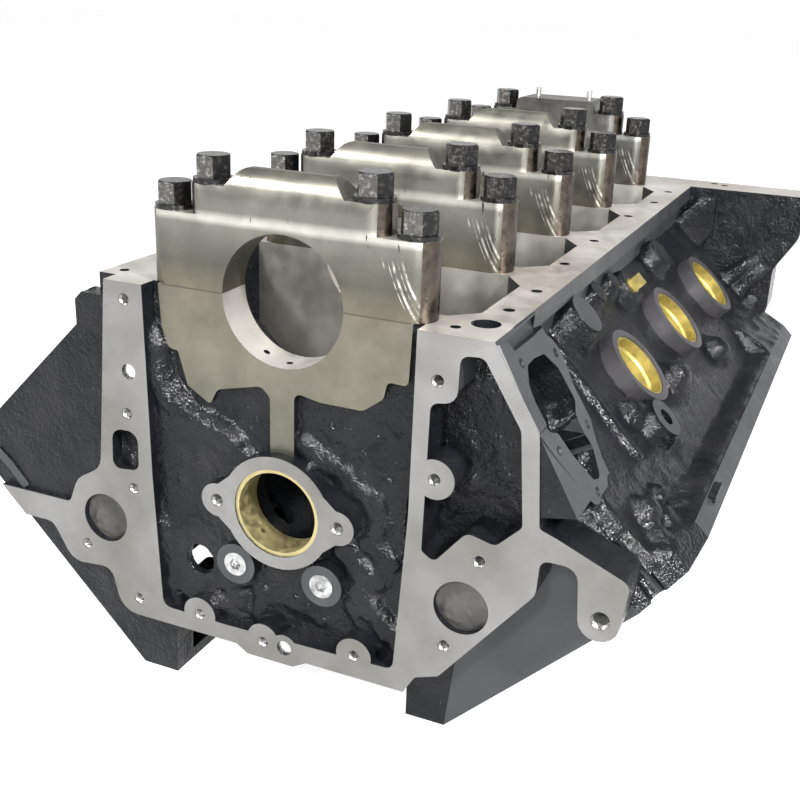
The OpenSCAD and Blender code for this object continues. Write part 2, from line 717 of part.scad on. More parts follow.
module block() {
    color([0.13, 0.13, 0.14])
        difference() {
            union() {
                along_y(wall_back, rear_y) crankcase_2d();
                for (side = [-1, 1])
                    on_bank(side) {
                        bank(side);
                        side_bosses(side);
                    }
                for (y = [[wall_back, valley_front_y], [valley_rear_y, rear_y]])
                    along_y(y[0], y[1])
                        translate([-foot_in_x - 2, valley_rail_z])
                            square([2 * foot_in_x + 4, -valley_rail_z - 60]);
                along_y(flange_y, rear_y) flange_2d();
                timing_plate();
                pump_corner();
                front_bosses();
                front_ribs();
            }
            crankcase_bays();
            for (side = [-1, 1])
                on_bank(side) {
                    cylinders(side);
                    lifter_bores(side);
                    valley_pockets(side);
                    deck_holes(side);
                }
            along_y(valley_front_y, valley_rear_y) valley_2d();
            for (i = [0:bays - 1])
                translate([0, pair_y(i), ridge_z - 1])
                    cylinder(h = 30, r = 8);
            rod_y(0, 0, main_r, face_y - 1, rear_y);
            rod_y(0, -cam_drop, cam_r, face_y - 1, rear_y);
            timing_holes();
            plug_holes();
            pump_cuts();
            rail_holes();
            rear_cuts();
        }
}

// Main caps

module cap_profile(w, seat, bolt_x) {
    translate([0, w / 2, 0])
        linear_extrude(seat)
            slot_2d(bolt_x + cap_lug - w / 2, w / 2);
}

// Section of the crown along the crank: upright sides that close in a pointed arch
module crown_arch(w) {
    rotate([90, 0, 90])
        translate([0, 0, -60])
            linear_extrude(120)
                intersection() {
                    translate([0, -1])
                        square([w, crown_top + 1]);
                    union() {
                        square([w, inner_seat - 7]);
                        intersection() {
                            translate([arch_r, inner_seat - 7]) circle(arch_r);
                            translate([w - arch_r, inner_seat - 7]) circle(arch_r);
                        }
                    }
                }
}
module main_cap(i) {
    w = main_w;
    color([0.62, 0.6, 0.57])
        translate([0, main_y(i), 0])
            difference() {
                union() {
                    cap_profile(w, outer_seat, outer_bolt_x);
                    intersection() {
                        union() {
                            cap_profile(w, inner_seat, inner_bolt_x);
                            along_y(0, w)
                                polygon(rounded([[-45, 0, 0], [-45, inner_seat - 1, 0],
                                    [-crown_x, inner_seat, 0], [-28, crown_top, 8], [27, crown_top, 2],
                                    [crown_x, inner_seat, 0], [45, inner_seat - 1, 0], [45, 0, 0]]));
                        }
                        crown_arch(w);
                    }
                }
                rod_y(0, 0, main_r, -1, w + 1);
                cap_bolt_holes();
            }
}

module cap_bolt_holes() {
    for (x = [inner_bolt_x, outer_bolt_x], sx = [-1, 1])
        translate([sx * x, main_w / 2, -1])
            cylinder(h = crown_top + 2, r = bolt_r + 4 * fit_gap);
}

// Rear cap: a machined front plate with cast bolt towers and an oil pump seat behind it
module rear_cap() {
    color([0.3, 0.3, 0.3])
        translate([0, rear_main_y, 0])
            difference() {
                union() {
                    cap_profile(main_w, outer_seat, outer_bolt_x);
                    cap_profile(main_w, inner_seat, inner_bolt_x);
                    along_y(0, rear_main_w)
                        polygon(rounded([[-58, 0, 0], [-58, 30, 6], [-42, 46, 6], [-crown_x, inner_seat, 0],
                            [-crown_x + 1, crown_top, 5], [crown_x - 1, crown_top, 5],
                            [crown_x, inner_seat, 0],
                            [42, 46, 6], [58, 30, 6], [58, 0, 0]]));
                }
                rod_y(0, 0, main_r, -1, rear_main_w + 1);
                rod_y(0, 0, seal_seat_r, rear_main_w - seal_seat_w, rear_main_w + 1);
                cap_bolt_holes();
                for (sx = [-1, 1])
                    translate([sx * pin_x, pin_y, crown_top - 10])
                        cylinder(h = 11, r = pin_r + fit_gap);
            }
}
module rear_cap_pins() {
    color("silver")
        for (sx = [-1, 1])
            translate([sx * pin_x, rear_main_y + pin_y, crown_top - 9])
                cylinder(h = 16, r = pin_r);
}

// Fasteners

module hex_bolt(reach) {
    translate([0, 0, washer_t])
        intersection() {
            cylinder(h = head_h, r = head_af / sqrt(3), $fn = 6);
            cylinder(h = head_h, r1 = head_af / 2 + 1.7 * head_h, r2 = head_af / 2 - 0.2);
        }
    translate([0, 0, -reach])
        cylinder(h = reach + washer_t + 1, r = bolt_r);
}

module cap_bolts(x, seat) {
    color([0.08, 0.08, 0.09])
        for (i = [0:bays], sx = [-1, 1])
            translate([sx * x, cap_bolt_y(i), seat])
                hex_bolt(seat + bolt_reach);
}

module cap_washers(x, seat) {
    color([0.1, 0.1, 0.1])
        for (i = [0:bays], sx = [-1, 1])
            translate([sx * x, cap_bolt_y(i), seat])
                difference() {
                    cylinder(h = washer_t, r = washer_d / 2);
                    translate([0, 0, -1])
                        cylinder(h = washer_t + 2, r = bolt_r + 0.4);
                }
}

// Camshaft bearings and plugs

module cam_bearing(i) {
    y0 = i == 0 ? face_y + 1 : main_y(i) + (main_w - cam_bearing_w) / 2;
    color([0.72, 0.6, 0.25])
        difference() {
            rod_y(0, -cam_drop, cam_r - fit_gap, y0, y0 + cam_bearing_w);
            rod_y(0, -cam_drop, cam_r - cam_shell, y0 - 1, y0 + cam_bearing_w + 1);
            translate([0, y0 + cam_bearing_w * 0.55, -cam_drop])
                rotate([0, 218, 0])
                    cylinder(h = cam_r + 1, r = 1.8, $fn = 24);
        }
}

// Pressed cup, mouth up, with its floor at z = 0
module cup_plug(r, depth, wall) {
    rotate_extrude()
        polygon([[0, 0], [r - 1.5, 0], [r, 1.5], [r, depth], [r - wall, depth], [r - wall, wall + 1.5],
            [r - wall - 1.5, wall], [0, wall]]);
}

module core_plugs(side) {
    color([0.75, 0.6, 0.2])
        on_bank(side)
            for (i = [0:2])
                jacket_frame(core_plug_y(side, i), core_plug_u(i), plug_t - plug_depth - 1)
                    cup_plug(core_plug_d / 2, plug_depth, core_plug_wall);
}

module rear_cam_plug() {
    color([0.75, 0.6, 0.2])
        translate([0, rear_y - plug_depth - 3, -cam_drop])
            rotate([-90, 0, 0])
                cup_plug(cam_r + 1 - fit_gap, plug_depth, core_plug_wall);
}

module rear_core_plugs() {
    color([0.75, 0.6, 0.2])
        for (sx = [-1, 1])
            translate([sx * rear_core_plug[0], rear_y - plug_depth - 1, rear_core_plug[1]])
                rotate([-90, 0, 0])
                    cup_plug(core_plug_d / 2, plug_depth, core_plug_wall);
}

// Short plug with a hexagon socket in its face, along +Z
module socket_plug(r, h) {
    difference() {
        cylinder(h = h, r = r);
        translate([0, 0, h - 5])
            cylinder(h = 6, r = r * 0.5, $fn = 6);
    }
}

module front_gallery_plugs() {
    color("silver")
        for (sx = [-1, 1])
            translate([sx * gallery_x, gallery_face_y + plug_len, gallery_z])
                rotate([90, 0, 0])
                    socket_plug(gallery_r, plug_len + 0.5);
}

module rear_gallery_plugs() {
    color("silver")
        for (sx = [-1, 1])
            translate([sx * gallery_x, rear_y - plug_len, gallery_z])
                rotate([-90, 0, 0])
                    socket_plug(gallery_r, plug_len);
}

module drain_plug(side) {
    color([0.75, 0.62, 0.3])
        on_bank(side)
            jacket_frame(drain_y(side), drain_u, jacket_t + drain_boss_h - 9) {
                cylinder(h = 9.5, r = drain_r);
                translate([-4.5, -4.5, 9])
                    cube([9, 9, 8]);
            }
}

module timing_cover_dowels() {
    color("silver")
        for (p = [[-97.7, -53.7], [5.2, -210.9]])
            rod_y(p[0], p[1], 4.7, face_y + 2, face_y + 11);
}

module housing_dowels() {
    color("silver")
        for (sx = [-1, 1])
            rod_y(sx * housing_dowel[0], housing_dowel[1], dowel_r, rear_y - 13, rear_y - 13 + dowel_len);
}

module deck_dowels(side) {
    color("silver")
        on_bank(side)
            for (y = [bore_y(side, 0) - deck_dowel_dy, bore_y(side, bays - 1) + deck_dowel_dy])
                bank_frame(y, deck_dowel_t, deck_height - 11)
                    difference() {
                        cylinder(h = 11, r = dowel_r);
                        translate([0, 0, -1])
                            cylinder(h = 13, r = 6);
                    }
}

block();
main_cap(0);  // main_cap_1
main_cap(1);  // main_cap_2
main_cap(2);  // main_cap_3
main_cap(3);  // main_cap_4
rear_cap();  // main_cap_5
cap_bolts(outer_bolt_x, outer_seat);  // outer_cap_bolts
cap_bolts(inner_bolt_x, inner_seat);  // inner_cap_bolts
cap_washers(outer_bolt_x, outer_seat);  // outer_cap_washers
cap_washers(inner_bolt_x, inner_seat);  // inner_cap_washers
rear_cap_pins();
cam_bearing(0);  // cam_bearing_1
cam_bearing(1);  // cam_bearing_2
cam_bearing(2);  // cam_bearing_3
cam_bearing(3);  // cam_bearing_4
cam_bearing(4);  // cam_bearing_5
rear_cam_plug();
core_plugs(1);  // core_plugs_right
core_plugs(-1);  // core_plugs_left
rear_core_plugs();
front_gallery_plugs();
rear_gallery_plugs();
drain_plug(1);  // drain_plug_right
drain_plug(-1);  // drain_plug_left
timing_cover_dowels();
housing_dowels();
deck_dowels(1);  // deck_dowels_right
deck_dowels(-1);  // deck_dowels_left
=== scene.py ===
import json
import math

import bmesh
import bpy
import numpy as np
from mathutils import Matrix, Vector
from mathutils.bvhtree import BVHTree


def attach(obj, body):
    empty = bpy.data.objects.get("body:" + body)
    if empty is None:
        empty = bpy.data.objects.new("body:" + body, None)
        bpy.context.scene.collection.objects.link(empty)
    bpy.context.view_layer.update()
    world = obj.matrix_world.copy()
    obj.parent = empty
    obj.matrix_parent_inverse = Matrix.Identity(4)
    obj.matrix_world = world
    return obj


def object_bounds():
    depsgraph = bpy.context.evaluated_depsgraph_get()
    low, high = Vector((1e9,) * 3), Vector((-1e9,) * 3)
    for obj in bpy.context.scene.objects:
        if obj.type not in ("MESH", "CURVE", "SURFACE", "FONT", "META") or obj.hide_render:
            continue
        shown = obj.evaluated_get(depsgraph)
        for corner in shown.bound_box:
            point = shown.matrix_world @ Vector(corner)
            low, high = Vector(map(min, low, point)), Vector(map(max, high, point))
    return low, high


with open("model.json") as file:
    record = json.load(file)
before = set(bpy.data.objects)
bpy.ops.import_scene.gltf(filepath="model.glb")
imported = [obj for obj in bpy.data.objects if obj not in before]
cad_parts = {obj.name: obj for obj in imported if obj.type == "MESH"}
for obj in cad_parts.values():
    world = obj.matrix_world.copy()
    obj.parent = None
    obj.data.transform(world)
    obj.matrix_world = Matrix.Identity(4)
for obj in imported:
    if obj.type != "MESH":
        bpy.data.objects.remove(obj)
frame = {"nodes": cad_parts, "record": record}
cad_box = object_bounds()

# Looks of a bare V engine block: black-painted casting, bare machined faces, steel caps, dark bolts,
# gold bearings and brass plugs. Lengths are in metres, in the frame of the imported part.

MM = 0.001

# Sine of the banks' 45 degrees, and sine and cosine of the pump pad's 61 degrees
S45 = math.sqrt(0.5)
S61 = math.sin(math.radians(61))
C61 = math.cos(math.radians(61))


def mount(name):
    """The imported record's mount of that name."""
    return next(m for m in frame["record"]["mounts"] if m["name"] == name)


# Cylinders in a bank, and planes and radii of the block
CYLINDERS = 4
FACE_Y = mount("timing_face")["pos_m"][1]
REAR_Y = mount("flywheel_face")["pos_m"][1]
CAM_Z = mount("cam_bore")["pos_m"][2]
MAIN_R = mount("main_bore")["dims"]["r_mm"] * MM
BORE_R = mount("cylinder_right_1")["dims"]["r_mm"] * MM
BORE_PITCH = mount("cylinder_right_2")["pos_m"][1] - mount("cylinder_right_1")["pos_m"][1]
FLOOR_Z = cad_box[0][2]

# A point of a bank lies u out along its cylinders and t across them, away from the valley: the deck's u, and
# the t of the jacket wall and of the deck flange's outer edge
DECK_U = Vector(mount("deck_right")["pos_m"]).dot(Vector((S45, 0, -S45)))
JACKET_T = 0.061
FLANGE_EDGE_T = 0.0735

# Core plug bosses: face and radius, the first one's place in the right (1) and left (-1) bank, and how far
# each of the three is shifted out and back
PLUG_T = 0.072
PLUG_BOSS_R = 0.0295
PLUG_U = DECK_U - 0.0919
PLUG_Y = {1: 0.17719, -1: 0.15269}
PLUG_SHIFTS = (0, 0, 0.0033)

# Front wall between the legs of the timing plate, the window to its right, and the hole through the wall:
# x, z and radius
WALL_LEFT, WALL_RIGHT, WALL_LOW_Z = -0.09, 0.086, -0.207
WINDOW_RIGHT, WINDOW_LOW_Z = 0.152, -0.135
WALL_HOLE = (-0.0555, -0.1685, 0.0095)

# Slot in the timing plate's left leg: depth of the wall behind it, and the wall's lowest x and z
SLOT_BACK_Y = FACE_Y + 0.009
SLOT_LOW = (-0.1175, -0.122)

# Coolant ports in the timing plate: x and z of each, radius, and depth of the floor
PORTS = [(-0.121, -0.1537), (0.115, -0.153)]
PORT_R = 0.016
PORT_FLOOR_Y = FACE_Y + 0.0045

# Pump pad, tilted by 61 degrees: its upper edge's x, its height along its own normal, and its holes down and
# along its face
PAD_X = 0.1245
PAD_RISE = 0.1095
PAD_HOLES = [(0.017, 0.009), (0.0255, 0.057), (0.069, 0.0575), (0.066, 0.008), (0.1, 0.033)]
PAD_HOLE_R = 0.003

# Tapped holes in the timing face: x, z and radius
TIMING_HOLES = [(-0.0985, -0.0102), (-0.1004, -0.0803), (-0.0984, -0.1286), (-0.1365, -0.175),
                (-0.0988, -0.2046), (-0.0539, -0.2039), (-0.0093, -0.2107), (0.0512, -0.2024),
                (0.0953, -0.0254), (0.0961, -0.0805), (0.1238, -0.1223), (0.1063, -0.1792)]
TIMING_HOLE_R = 0.0035
ARM_HOLE = (0.1911, -0.1396, 0.0052)
EAR_HOLES = [(-0.0392, CAM_Z, 0.004), (0.0392, CAM_Z, 0.004)]
FRONT_HOLES = [(x, z, TIMING_HOLE_R) for x, z in TIMING_HOLES] + [ARM_HOLE] + EAR_HOLES


# Materials

class Shader:
    """A Principled material whose textures lie in the part's own coordinates."""

    # Sockets of a Mix node that mixes colours
    FACTOR, FIRST, SECOND, MIXED = 0, 6, 7, 2

    def __init__(self, name, color, metallic=0.0, roughness=0.5, **sockets):
        self.material = bpy.data.materials.new(name)
        self.material.use_nodes = True
        self.tree = self.material.node_tree
        self.bsdf = self.tree.nodes["Principled BSDF"]
        self.place = self.tree.nodes.new("ShaderNodeTexCoord").outputs["Object"]
        self.set("Base Color", (*color, 1))
        self.set("Metallic", metallic)
        self.set("Roughness", roughness)
        for socket, value in sockets.items():
            self.set(socket.replace("_", " "), value)

    def set(self, socket, value):
        self.bsdf.inputs[socket].default_value = value

    def node(self, kind, **values):
        made = self.tree.nodes.new(kind)
        for key, value in values.items():
            setattr(made, key, value)
        return made

    def link(self, output, target):
        self.tree.links.new(output, target)

    def stretched(self, scale):
        """Coordinates stretched by a factor for each axis."""
        made = self.node("ShaderNodeMapping")
        made.inputs["Scale"].default_value = scale
        self.link(self.place, made.inputs["Vector"])
        return made.outputs[0]

    def noise(self, size, detail=3.0, rough=0.55, stretch=None):
        """Noise whose features are about size metres across."""
        made = self.node("ShaderNodeTexNoise")
        made.inputs["Scale"].default_value = 1 / size
        made.inputs["Detail"].default_value = detail
        made.inputs["Roughness"].default_value = rough
        self.link(self.stretched(stretch) if stretch else self.place, made.inputs["Vector"])
        return made.outputs["Fac"]

    def ramp(self, value, low, high, start=0.3, end=0.7):
        """Colour or grey that runs from low to high as the value goes from start to end."""
        made = self.node("ShaderNodeValToRGB")
        for element, at, tone in zip(made.color_ramp.elements, (start, end), (low, high)):
            element.position = at
            element.color = (*tone, 1) if isinstance(tone, tuple) else (tone, tone, tone, 1)
        self.link(value, made.inputs["Fac"])
        return made.outputs["Color"]

    def mix(self, factor, first, second, blend="MIX"):
        """Two colours mixed by a factor, where each of the three is a value or a socket."""
        made = self.node("ShaderNodeMix", data_type="RGBA", blend_type=blend)
        for socket, value in ((self.FACTOR, factor), (self.FIRST, first), (self.SECOND, second)):
            if isinstance(value, (int, float)):
                made.inputs[socket].default_value = value
            elif isinstance(value, tuple):
                made.inputs[socket].default_value = (*value, 1)
            else:
                self.link(value, made.inputs[socket])
        return made.outputs[self.MIXED]

    def axes(self):
        """The part's own x, y and z."""
        made = self.node("ShaderNodeSeparateXYZ")
        self.link(self.place, made.inputs[0])
        return made.outputs[0], made.outputs[1], made.outputs[2]

    def math(self, operation, *values):
        made = self.node("ShaderNodeMath", operation=operation)
        for socket, value in zip(made.inputs, values):
            if isinstance(value, (int, float)):
                socket.default_value = value
            else:
                self.link(value, socket)
        return made.outputs[0]

    def product(self, *values):
        total = values[0]
        for value in values[1:]:
            total = self.math("MULTIPLY", total, value)
        return total

    def fade(self, value, start, end):
        """Runs from 0 to 1 as the value goes from start to end."""
        made = self.node("ShaderNodeMapRange")
        made.inputs["From Min"].default_value = start
        made.inputs["From Max"].default_value = end
        self.link(value, made.inputs["Value"])
        return made.outputs["Result"]

    def color(self, value):
        self.link(value, self.bsdf.inputs["Base Color"])

    def rough(self, value):
        self.link(value, self.bsdf.inputs["Roughness"])

    def bump(self, *layers):
        """Stacked bumps, each (height, depth in metres, strength)."""
        normal = None
        for height, depth, strength in layers:
            made = self.node("ShaderNodeBump")
            made.inputs["Strength"].default_value = strength
            made.inputs["Distance"].default_value = depth
            self.link(height, made.inputs["Height"])
            if normal:
                self.link(normal, made.inputs["Normal"])
            normal = made.outputs["Normal"]
        self.link(normal, self.bsdf.inputs["Normal"])


def cast_paint():
    """Gloss black paint over a rough sand casting."""
    m = Shader("cast_paint", (0.006, 0.006, 0.007), 0.0, 0.2, Specular_IOR_Level=0.17)
    m.color(m.mix(m.ramp(m.noise(0.03, 4), 0.0, 1.0), (0.002, 0.0025, 0.003), (0.007, 0.007, 0.0085)))
    m.rough(m.ramp(m.noise(0.006, 3), 0.08, 0.24))
    m.bump((m.noise(0.012, 2, 0.5), 0.002, 0.6), (m.noise(0.0024, 2, 0.6), 0.0008, 0.9),
           (m.noise(0.0011, 1, 0.5), 0.0004, 0.8))
    return m.material


def cast_smooth(name, low, high):
    """Evener satin grey on the ends of the banks and the plug bosses."""
    m = Shader(name, low, 0.0, 0.42, Specular_IOR_Level=0.4)
    m.color(m.mix(m.ramp(m.noise(0.04, 5), 0.0, 1.0), low, high))
    m.rough(m.ramp(m.noise(0.01, 3), 0.36, 0.5))
    m.bump((m.noise(0.006, 3), 0.0006, 0.4), (m.noise(0.0016, 3), 0.0002, 0.5))
    return m.material


def machined(name, low, high, stretch, roughness=0.4):
    """Bare iron, slightly stained, with fine cutter marks along the axis whose stretch factor is small."""
    m = Shader(name, high, 0.9, roughness)
    tone = m.mix(m.ramp(m.noise(0.09, 3, 0.5), 0.0, 1.0, 0.35, 0.65), low, high)
    stain = m.ramp(m.noise(0.02, 5, 0.65), 0.86, 1.0, 0.3, 0.6)
    m.color(m.mix(1.0, tone, stain, "MULTIPLY"))
    m.rough(m.ramp(m.noise(0.012, 3), roughness - 0.05, roughness + 0.08))
    m.bump((m.noise(0.0012, 2, 0.5, stretch), 0.00008, 0.35), (m.noise(0.012, 2), 0.0003, 0.15))
    return m.material


# Painted reflection and shade on the milled front faces by height above the parting line, darkest across the
# middle, with a painted highlight band along the rounded top edge: height, red, green, blue
CAP_PAINTED_LIGHT_BY_HEIGHT = [(-0.085, 0.18, 0.175, 0.14), (-0.03, 0.23, 0.22, 0.17), (-0.002, 0.215, 0.2, 0.155),
             (0.006, 0.18, 0.17, 0.14), (0.016, 0.13, 0.13, 0.115), (0.03, 0.2, 0.2, 0.185),
             (0.0375, 0.27, 0.27, 0.255), (0.0405, 0.72, 0.72, 0.7), (0.0425, 0.62, 0.62, 0.6),
             (0.0455, 0.25, 0.248, 0.235), (0.07, 0.19, 0.187, 0.17)]

# Cutter arcs at the right end of the caps: their centre, and each one's radius, half width and lowest z
ARC_CENTER = (0.1704, 0, 0.0636)
ARCS = [(0.1054, 0.0009, -0.002), (0.1107, 0.0009, -0.002), (0.116, 0.0007, 0.026), (0.1079, 0.0003, 0.004),
        (0.1132, 0.0003, 0.006)]
ARC_TONE = (0.6, 0.585, 0.53)
NICK_TONE = (0.04, 0.04, 0.035)
PARTING_TONE = (0.06, 0.057, 0.045)


def painted_light_by_height(m, z, tint):
    """Tinted cap tone at a height, lighter and darker by height as painted reflection and shade, with a
    painted highlight band along the rounded top edge, a slightly wavy course and smudges of oil.
    """
    lowest, highest = CAP_PAINTED_LIGHT_BY_HEIGHT[0][0], CAP_PAINTED_LIGHT_BY_HEIGHT[-1][0]
    tone = m.node("ShaderNodeValToRGB")
    while len(tone.color_ramp.elements) < len(CAP_PAINTED_LIGHT_BY_HEIGHT):
        tone.color_ramp.elements.new(0.5)
    for element, (height, *rgb) in zip(tone.color_ramp.elements, CAP_PAINTED_LIGHT_BY_HEIGHT):
        element.position = (height - lowest) / (highest - lowest)
        element.color = (*[c * k for c, k in zip(rgb, tint)], 1)
    wavy = m.math("MULTIPLY_ADD", m.noise(0.03, 2), 0.002, m.math("SUBTRACT", z, 0.001))
    m.link(m.fade(wavy, lowest, highest), tone.inputs["Fac"])
    smudge = m.ramp(m.noise(0.025, 5, 0.6), 0.82, 1.12, 0.3, 0.65)
    return m.mix(1.0, tone.outputs["Color"], smudge, "MULTIPLY")


def with_arcs(m, x, z, color):
    """Adds the broken bright arcs that the cutter left."""
    flat = m.node("ShaderNodeCombineXYZ")
    m.link(x, flat.inputs["X"])
    m.link(z, flat.inputs["Z"])
    reach = m.node("ShaderNodeVectorMath", operation="DISTANCE")
    m.link(flat.outputs[0], reach.inputs[0])
    reach.inputs[1].default_value = ARC_CENTER
    for radius, width, above in ARCS:
        off = m.math("ABSOLUTE", m.math("SUBTRACT", reach.outputs["Value"], radius))
        broken = m.ramp(m.noise(0.005, 2), 0.05, 0.9, 0.4, 0.6)
        line = m.product(m.fade(off, width, width * 0.3), m.fade(x, 0.053, 0.058),
                         m.fade(z, above, above + 0.003), m.fade(z, 0.033, 0.027), broken)
        color = m.mix(line, color, ARC_TONE)
    return color


def with_nicks(m, z, color):
    """Adds small dark nicks along the upper edge of the lower bolt seats."""
    specks = m.fade(m.noise(0.0035, 2, 0.5, (1, 1, 0.2)), 0.66, 0.7)
    return m.mix(m.product(specks, m.fade(z, 0.034, 0.037), m.fade(z, 0.047, 0.043)), color, NICK_TONE)


def cap_steel(name, tint):
    """Milled steel with an oil film, painted reflection, shade and highlight by height, cutter arcs, nicks
    and a thin dark parting line.
    """
    m = Shader(name, (0.2, 0.19, 0.17), 0.9, 0.34)
    x, _, z = m.axes()
    # The colour carries painted reflection and shade by height and a painted highlight band along the top
    # edge
    color = with_nicks(m, z, with_arcs(m, x, z, painted_light_by_height(m, z, tint)))
    m.color(m.mix(m.fade(m.math("ABSOLUTE", z), 0.0005, 0.0001), color, PARTING_TONE))
    m.rough(m.ramp(m.noise(0.012, 4), 0.26, 0.42))
    m.bump((m.noise(0.0011, 2, 0.5, (1, 1, 0.05)), 0.00008, 0.35), (m.noise(0.014, 3), 0.0005, 0.2))
    return m.material


def bolt_black(name, dark, worn):
    """Black oxide with oil on it, worn through in specks."""
    m = Shader(name, dark, 0.9, 0.22)
    m.color(m.mix(m.ramp(m.noise(0.003, 5, 0.75), 0.0, 1.0, 0.5, 0.66), dark, worn))
    m.rough(m.ramp(m.noise(0.003, 3), 0.14, 0.3))
    m.bump((m.noise(0.0014, 3, 0.6), 0.0002, 0.4))
    return m.material


def turned(name, color, bright, roughness, grain=0.002, metallic=1.0):
    """Plain turned or plated metal."""
    m = Shader(name, color, metallic, roughness)
    m.color(m.mix(m.ramp(m.noise(0.008, 4, 0.6), 0.0, 1.0), color, bright))
    m.rough(m.ramp(m.noise(0.004, 3), roughness - 0.08, roughness + 0.1))
    m.bump((m.noise(grain, 3, 0.6), 0.1 * grain, 0.35))
    return m.material


def bore_iron():
    """Honed cylinder walls: crossed fine scratches."""
    m = Shader("bore_iron", (0.42, 0.42, 0.41), 0.9, 0.3)
    m.bump((m.noise(0.0008, 2, 0.5, (1, 0.08, 1)), 0.0001, 0.4),
           (m.noise(0.0008, 2, 0.5, (0.3, 1, 0.3)), 0.0001, 0.3))
    return m.material


def pale_floor():
    """Pale floor that also glows, so that it looks as white as the photo's ground."""
    m = Shader("pale_floor", (0.2, 0.2, 0.2), 0.0, 0.7, Specular_IOR_Level=0.1)
    m.set("Emission Color", (1, 1, 1, 1))
    m.set("Emission Strength", 0.88)
    m.rough(m.ramp(m.noise(0.4, 2), 0.66, 0.74))
    return m.material


LOOKS = {
    "cast_paint": cast_paint(),
    "cast_smooth": cast_smooth("cast_smooth", (0.01, 0.011, 0.0125), (0.021, 0.022, 0.0245)),
    "core_face": cast_smooth("core_face", (0.006, 0.006, 0.006), (0.04, 0.038, 0.035)),
    "boss_grey": cast_smooth("boss_grey", (0.014, 0.0132, 0.0148), (0.029, 0.0272, 0.0302)),
    "timing_iron": machined("timing_iron", (0.155, 0.15, 0.14), (0.218, 0.217, 0.215), (0.05, 1, 1)),
    "rail_iron": machined("rail_iron", (0.46, 0.42, 0.38), (0.68, 0.66, 0.63), (1, 0.06, 1), 0.36),
    # Machined webs: bare iron grey, made lighter as painted light for the shade they stand in between the
    # bays
    "web_iron_painted_light": machined("web_iron_painted_light", (0.25, 0.243, 0.215), (0.4, 0.39, 0.35), (1, 1, 0.03)),
    # Front web and caps: milled steel whose colour holds painted reflection, shade and highlight by height
    "front_web": cap_steel("front_web", (0.62, 0.62, 0.62)),
    "bore_iron": bore_iron(),
    "cap_steel": cap_steel("cap_steel", (0.61, 0.6, 0.55)),
    "rear_cap_iron": cap_steel("rear_cap_iron", (0.5, 0.5, 0.5)),
    "bolt_black": bolt_black("bolt_black", (0.022, 0.022, 0.023), (0.075, 0.072, 0.069)),
    # Front facets of the bolt heads: lighter black oxide as a painted highlight, with worn specks
    "bolt_painted_highlight": bolt_black("bolt_painted_highlight", (0.085, 0.081, 0.077), (0.3, 0.287, 0.275)),
    "cap_end": turned("cap_end", (0.045, 0.037, 0.03), (0.11, 0.092, 0.075), 0.3),
    "bearing_gold": turned("bearing_gold", (0.35, 0.3, 0.15), (0.43, 0.375, 0.2), 0.5, grain=0.001),
    "plug_brass": turned("plug_brass", (0.2, 0.165, 0.05), (0.38, 0.31, 0.1), 0.42, metallic=0.8),
    "plug_zinc": turned("plug_zinc", (0.2, 0.2, 0.2), (0.62, 0.62, 0.62), 0.3),
    "dowel_steel": turned("dowel_steel", (0.5, 0.5, 0.49), (0.7, 0.7, 0.68), 0.28),
    "thread_steel": turned("thread_steel", (0.2, 0.2, 0.198), (0.34, 0.338, 0.333), 0.35, grain=0.001),
}
BLOCK_LOOKS = ["cast_paint", "cast_smooth", "boss_grey", "timing_iron", "rail_iron", "web_iron_painted_light", "front_web",
               "bore_iron", "thread_steel"]


# Block casting

